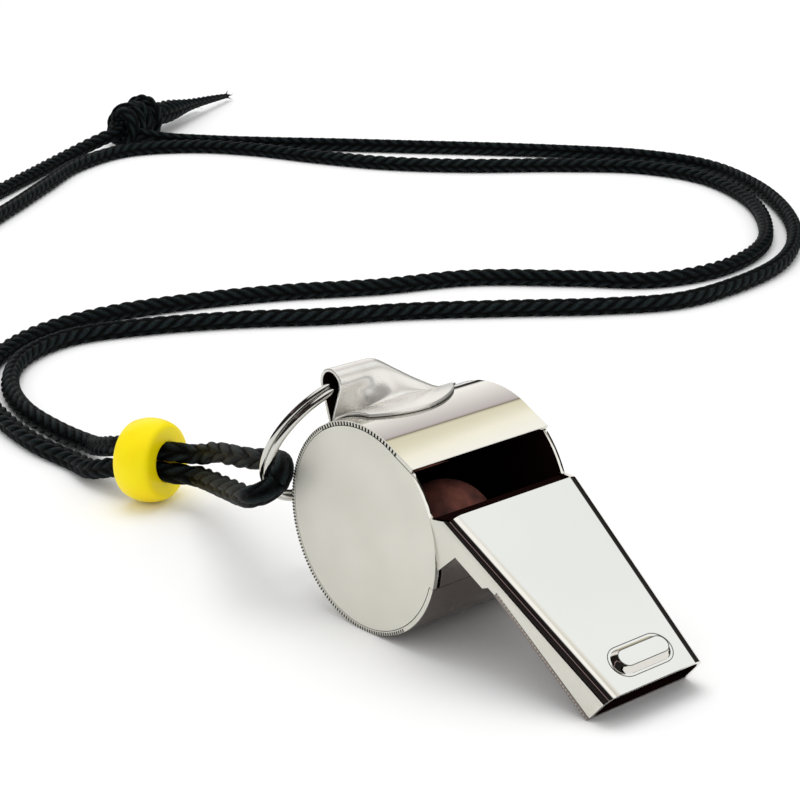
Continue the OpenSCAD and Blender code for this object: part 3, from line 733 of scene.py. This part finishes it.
def bent_strap():
    """The strap's sections side by side, evened out, given their wall and closed."""
    places = np.concatenate([np.linspace(EYE_NEAR_Y, EYE_FAR_Y, EYE_ROWS),
                             np.linspace(EYE_FAR_Y, FOOT_END_Y, RIDGE_ROWS)[1:]])
    grid = np.array([strap_section(y) for y in places])
    soft = np.clip((places - SMOOTH_FROM_Y) / SMOOTH_FADE, 0, 1)[:, None, None]
    for _ in range(STRAP_SMOOTHINGS):
        grid[:, 1:-1] += 0.5 * soft * ((grid[:, :-2] + grid[:, 2:]) / 2 - grid[:, 1:-1])
        grid[8:-1, 1:-1] += 0.25 * ((grid[7:-2, 1:-1] + grid[9:, 1:-1]) / 2 - grid[8:-1, 1:-1])
    rows, columns = grid.shape[:2]
    verts = [(grid[i, j, 0] * MM, places[i] * MM, grid[i, j, 1] * MM)
             for i in range(rows) for j in range(columns)]
    faces = [(i * columns + j, i * columns + j + 1, (i + 1) * columns + j + 1, (i + 1) * columns + j)
             for i in range(rows - 1) for j in range(columns - 1)]
    mesh = bpy.data.meshes.new("loop")
    mesh.from_pydata(verts, [], faces)
    work = bmesh.new()
    work.from_mesh(mesh)
    bmesh.ops.remove_doubles(work, verts=work.verts, dist=0.015 * MM)
    bmesh.ops.dissolve_degenerate(work, edges=work.edges, dist=0.01 * MM)
    up_faces = sum(face.normal.z for face in work.faces if face.calc_center_median().x > -4 * MM)
    if up_faces < 0:
        bmesh.ops.reverse_faces(work, faces=work.faces)
    work.to_mesh(mesh)
    work.free()
    mesh.materials.append(nickel_bent)
    mesh.materials.append(nickel_inside_painted_shade)
    piece = placed("loop", mesh)
    wall = piece.modifiers.new("wall", "SOLIDIFY")
    # The wall's second face, under the strap and inside the eye, takes the near-black painted shade.
    wall.thickness, wall.offset, wall.material_offset = STRAP * MM, 0, 1
    rounding = piece.modifiers.new("rounding", "BEVEL")
    rounding.width, rounding.segments, rounding.limit_method = 0.07 * MM, 2, "ANGLE"
    rounding.angle_limit = radians(60)
    piece = plain_result(piece)
    # The wall has doubled points and small gaps, mostly at the pinch. This closes nearly all of them.
    closed = bmesh.new()
    closed.from_mesh(piece.data)
    bmesh.ops.remove_doubles(closed, verts=closed.verts, dist=0.012 * MM)
    bmesh.ops.dissolve_degenerate(closed, edges=closed.edges, dist=0.004 * MM)
    bmesh.ops.delete(closed, geom=[vert for vert in closed.verts if not vert.link_faces], context="VERTS")
    bmesh.ops.holes_fill(closed, edges=[edge for edge in closed.edges if edge.is_boundary])
    bmesh.ops.triangulate(closed, faces=closed.faces)
    closed.to_mesh(piece.data)
    closed.free()
    piece.data.polygons.foreach_set("use_smooth", [True] * len(piece.data.polygons))
    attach(piece, "whistle")
    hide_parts("lanyard_loop")


bent_strap()

# ---------------------------------------------------------------- solder seam
# Where each cheek meets the band, the file leaves a row of fine teeth in the solder, coarser on top. A
# paler row runs along the lower edge of the mouthpiece's sides.
RIM_ROWS = (("filed_teeth", (60, 124, 11.2, 0.17), 0.47, (0.42, 0.42, 0.2)),
            ("rim_teeth", (124, 305, 11.3, 0.13), 0.38, (0.34, 0.34, 0.15)))
MOUTH_EDGE, MOUTH_PITCH, MOUTH_TOOTH = ((19.55, 8.33, 10.05), (30.45, 6.90, 0.26)), 0.42, (0.16, 0.16, 0.2)


def teeth_tree():
    """Geometry nodes: small blocks at even steps along a line, turned with it."""
    tree, inlet, outlet, sockets = node_group("teeth_along_line", Pitch="Float", Tooth="Vector",
                                              Material="Material")
    add, link = tree.nodes.new, tree.links.new
    to_curve, steps = add("GeometryNodeMeshToCurve"), add("GeometryNodeCurveToPoints")
    steps.mode = "LENGTH"
    tooth, place = add("GeometryNodeMeshCube"), add("GeometryNodeInstanceOnPoints")
    link(inlet.outputs["Geometry"], to_curve.inputs["Mesh"])
    link(to_curve.outputs[0], steps.inputs["Curve"])
    link(inlet.outputs["Pitch"], steps.inputs["Length"])
    link(inlet.outputs["Tooth"], tooth.inputs["Size"])
    link(steps.outputs["Points"], place.inputs["Points"])
    link(steps.outputs["Rotation"], place.inputs["Rotation"])
    link(tooth.outputs["Mesh"], place.inputs["Instance"])
    finish_group(tree, place.outputs[0], inlet, outlet)
    return tree, sockets


def rim_line(side, first, last, radius, inset):
    """Arc over the band's cut rim, from one angle to another."""
    return [Vector((radius * cos(a), side * (CHEEK_Y - inset), AXIS_Z + radius * sin(a))) * MM
            for a in map(radians, range(first, last, 2))]


def mouth_line(side):
    return [Vector((x, side * y, z)) * MM for x, y, z in MOUTH_EDGE]


def row_of_teeth(name, lines, metal, pitch, tooth):
    """One piece for the rows of both sides."""
    mesh = bpy.data.meshes.new(name)
    verts, edges = [], []
    for points in lines:
        edges += [(len(verts) + i, len(verts) + i + 1) for i in range(len(points) - 1)]
        verts += points
    mesh.from_pydata(verts, edges, [])
    piece = shaped_by(placed(name, mesh), teeth, teeth_sockets, pitch * MM, tuple(Vector(tooth) * MM), metal)
    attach(piece, "whistle")


teeth, teeth_sockets = teeth_tree()
solder_dark = metal_finish("solder_dark", (0.016, 0.014, 0.013), 0.5, metallic=0.2)
solder_pale = metal_finish("solder_pale", (0.42, 0.39, 0.33), 0.4, metallic=0.5)
for name, arc, pitch, tooth in RIM_ROWS:
    row_of_teeth(name, [rim_line(side, *arc) for side in (-1, 1)], solder_dark, pitch, tooth)
row_of_teeth("mouth_teeth", [mouth_line(side) for side in (-1, 1)], solder_pale, MOUTH_PITCH, MOUTH_TOOTH)

# ---------------------------------------------------------------- tooth grip's outline
# The press raises the tooth grip. A fine dark line round its foot and another round its top
# are painted shade in these creases.
GRIP_AT, GRIP_HALF_LONG, GRIP_HALF_WIDE, GRIP_FLANK, GRIP_HIGH = 21, 3.95, 1.65, 0.7, 0.7
FOOT_OUTSIDE, CREASE_SHADE_R, CREASE_SHADE_CORNERS = 0.1, 0.05, 6


def pressed_line(inset, height):
    """Closed outline with round ends, on the plate's slope."""
    reach, straight = GRIP_HALF_WIDE - inset, GRIP_HALF_LONG - GRIP_HALF_WIDE
    points = []
    for side, first in ((1, -90), (-1, 90)):
        for a in range(first, first + 181, 10):
            down, y = GRIP_AT + reach * sin(radians(a)), side * straight + reach * cos(radians(a))
            points.append((PLATE_REAR + PLATE_DOWN * down + PLATE_UP * height + Vector((0, y, 0))) * MM)
    return points


# Thin dark wires along both outlines: painted shade in the grip's creases.
crease_shade_mesh = bpy.data.meshes.new("crease_shade_lines")
marks, mark_edges = [], []
for inset, height in ((-FOOT_OUTSIDE, 0.0), (GRIP_FLANK, GRIP_HIGH)):
    outline = pressed_line(inset, height)
    mark_edges += [(len(marks) + i, len(marks) + (i + 1) % len(outline)) for i in range(len(outline))]
    marks += outline
crease_shade_mesh.from_pydata(marks, mark_edges, [])
crease_shade_lines = shaped_by(placed("crease_shade_lines", crease_shade_mesh), wire, wire_sockets, CREASE_SHADE_R * MM,
                        CREASE_SHADE_CORNERS, metal_finish("crease_shade_line", (0.20, 0.195, 0.18), 0.3))
outward_faces(crease_shade_lines.data)
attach(crease_shade_lines, "whistle")

# ---------------------------------------------------------------- pea
# Ball of dyed cork, ground round, with the pits and darker veins of the bark. It lies against the
# near cheek, half hidden behind the window's sill.
PEA_LOW, PEA_HIGH = (Vector(corner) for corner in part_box("pea"))
PEA_AT, PEA_R, PEA_INSET, PIT_DEEP = PEA_LOW + (PEA_HIGH - PEA_LOW) / 2, 5.3, 0.02, 0.09


def cork_ball():
    """Ball with shallow pits of two sizes."""
    work = bmesh.new()
    bmesh.ops.create_icosphere(work, subdivisions=6, radius=1)
    for vertex in work.verts:
        way = vertex.co.normalized()
        pit = noise.noise(way * 9) * 0.5 + noise.noise(way * 23) * 0.35
        vertex.co = way * (PEA_R - PEA_INSET - PIT_DEEP * max(pit, 0)) * MM + PEA_AT
    mesh = bpy.data.meshes.new("cork_pea")
    work.to_mesh(mesh)
    work.free()
    mesh.polygons.foreach_set("use_smooth", [True] * len(mesh.polygons))
    return placed("cork_pea", mesh)


pea = cork_ball()
cork = Finish("cork", Roughness=0.8)
cork.set("Base Color", cork.ramp(cork.noise(520, 6), (0.3, (0.045, 0.011, 0.007)),
                                 (0.55, (0.15, 0.04, 0.026)), (0.8, (0.24, 0.075, 0.05))))
cork.bump(cork.noise(1500, 5), 0.5, 0.0001)
pea.data.materials.append(cork.material)
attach(pea, "pea")
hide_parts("pea")

# ---------------------------------------------------------------- table and light
# A white table top, even light from all round, and one wide soft lamp above. What the polished metal
# mirrors is a studio: dark along the horizon and on the near side, white overhead, and on the far side
# a pale wall with a warm edge and a grey patch, and one dark card.
TABLE_HALF = 3
LAMP_WIDE, LAMP_POWER, LAMP_AT, LAMP_AIM = 0.5, 1.2, Vector((-0.12, 0.05, 0.6)), Vector((-0.03, 0.02, 0))
MIRROR_LEVEL, EVEN_LEVEL = 1.3, 0.82
WHITE, SKY, CARD, DARK_CARD = (1, 1, 1), (0.905, 0.94, 0.98), (0.02, 0.018, 0.018), (0.012, 0.01, 0.01)
table_mesh = bpy.data.meshes.new("table_top")
corners = ((-1, -1), (1, -1), (1, 1), (-1, 1))
table_mesh.from_pydata([(x * TABLE_HALF, y * TABLE_HALF, 0) for x, y in corners], [], [(0, 1, 2, 3)])
table_top = placed("table_top", table_mesh)
white = Finish("table_white", Roughness=0.9, Specular_IOR_Level=0.0)
white.set("Base Color", white.ramp(white.noise(4), (0.0, (0.985, 0.985, 0.985)), (1.0, WHITE)))
table_mesh.materials.append(white.material)

lamp = placed("overhead", bpy.data.lights.new("overhead", "AREA"))
lamp.data.shape, lamp.data.size, lamp.data.energy = "DISK", LAMP_WIDE, LAMP_POWER
lamp.location = LAMP_AT
lamp.rotation_euler = (LAMP_AT - LAMP_AIM).to_track_quat("Z", "Y").to_euler()
lamp.visible_glossy = False

world = bpy.data.worlds.new("studio")
bpy.context.scene.world = world
world.use_nodes = True
world.node_tree.nodes.clear()
add, link = world.node_tree.nodes.new, world.node_tree.links.new
directions = add("ShaderNodeSeparateXYZ")
link(add("ShaderNodeTexCoord").outputs["Generated"], directions.inputs[0])


def studio_ramp(factor, *stops):
    node = add("ShaderNodeValToRGB")
    link(factor, node.inputs[0])
    return with_stops(node, stops)


def from_zero(axis):
    """One part of the mirrored direction, brought from -1..1 to 0..1."""
    node = add("ShaderNodeMath")
    node.operation = "MULTIPLY_ADD"
    node.inputs[1].default_value = node.inputs[2].default_value = 0.5
    link(directions.outputs[axis], node.inputs[0])
    return node.outputs[0]


def blended(kind, first, second, share=None):
    """Two colours blended by a share, or the first wholly multiplied by the second."""
    node = add("ShaderNodeMix")
    node.data_type, node.blend_type = "RGBA", kind
    node.inputs[0].default_value = 1
    if share:
        link(share, node.inputs[0])
    link(first, node.inputs[6])
    link(second, node.inputs[7])
    return node.outputs[2]


far_side = studio_ramp(
    from_zero("X"), (0.0, (0.95, 0.95, 0.94)), (0.125, (0.93, 0.92, 0.91)), (0.325, (0.56, 0.52, 0.545)),
    (0.352, (0.40, 0.36, 0.36)), (0.362, (0.13, 0.09, 0.06)), (0.372, (0.50, 0.465, 0.37)),
    (0.4085, (0.78, 0.745, 0.60)), (0.4135, (1, 0.98, 0.86)), (0.4185, (1, 0.99, 0.94)), (0.425, WHITE),
    (0.45, SKY), (0.6, SKY), (0.65, (0.8, 0.78, 0.74)), (0.725, (0.3, 0.27, 0.24)), (0.8, WHITE))
near_side = studio_ramp(
    directions.outputs["Z"], (0.0, (0.6, 0.58, 0.55)), (0.06, CARD), (0.55, DARK_CARD),
    (0.575, (0.42, 0.3, 0.32)), (0.60, DARK_CARD), (0.83, DARK_CARD), (0.88, WHITE))
across = add("ShaderNodeMapRange")
across.interpolation_type = "SMOOTHSTEP"
across.inputs["From Min"].default_value, across.inputs["From Max"].default_value = -0.12, 0.12
link(directions.outputs["Y"], across.inputs["Value"])
horizon = studio_ramp(directions.outputs["Z"], (0.0, CARD), (0.10, (0.03, 0.025, 0.025)), (0.17, WHITE))
far_card = studio_ramp(from_zero("Y"), (0.0, WHITE), (0.847, WHITE), (0.862, (0.03, 0.027, 0.025)), (1, CARD))
walls = blended("MIX", near_side, far_side, across.outputs[0])
mirrored, even, plain = [add("ShaderNodeBackground") for _ in range(3)]
link(blended("MULTIPLY", blended("MULTIPLY", walls, horizon), far_card), mirrored.inputs["Color"])
mirrored.inputs["Strength"].default_value = MIRROR_LEVEL
even.inputs["Strength"].default_value = EVEN_LEVEL
even.inputs["Color"].default_value = plain.inputs["Color"].default_value = (1, 1, 1, 1)
rays, out = add("ShaderNodeLightPath"), add("ShaderNodeOutputWorld")
by_gloss, by_eye = add("ShaderNodeMixShader"), add("ShaderNodeMixShader")
link(rays.outputs["Is Glossy Ray"], by_gloss.inputs[0])
link(even.outputs[0], by_gloss.inputs[1])
link(mirrored.outputs[0], by_gloss.inputs[2])
link(rays.outputs["Is Camera Ray"], by_eye.inputs[0])
link(by_gloss.outputs[0], by_eye.inputs[1])
link(plain.outputs[0], by_eye.inputs[2])
link(by_eye.outputs[0], out.inputs[0])
bpy.context.scene.view_settings.view_transform = "Standard"
